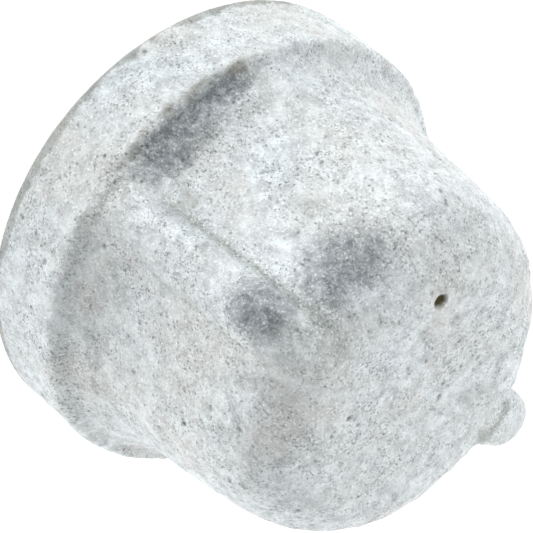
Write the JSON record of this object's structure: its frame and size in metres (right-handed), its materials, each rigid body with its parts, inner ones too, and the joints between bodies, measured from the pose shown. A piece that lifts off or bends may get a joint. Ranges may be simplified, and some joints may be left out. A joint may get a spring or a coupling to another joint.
{
  "type": "pipe cap",
  "caption": "Threaded pipe cap: a round collar at the open end, a drafted body with six faint flats, two parting ribs, a rounded closed end and a taper pipe thread inside.",
  "frame": {"origin": "centre of the mouth face, on the thread's axis", "axes": "+Z along the thread's axis from the mouth to the closed end, +X towards the rib that carries the gate stub"},
  "size_m": [0.031, 0.031, 0.0229],
  "materials": {
    "galvanised_iron": "hot-dip galvanised, pale grey zinc over a sand-cast grain",
    "bare_iron": "cut by the tap after galvanising, lightly oiled"
  },
  "bodies": {
    "root": {"threaded_socket": "bare_iron", "collar": "galvanised_iron", "wrench_body": "galvanised_iron", "closed_end": "galvanised_iron", "gate_side_rib": "galvanised_iron", "far_side_rib": "galvanised_iron", "gate_stub": "galvanised_iron"}
  },
  "joints": []
}
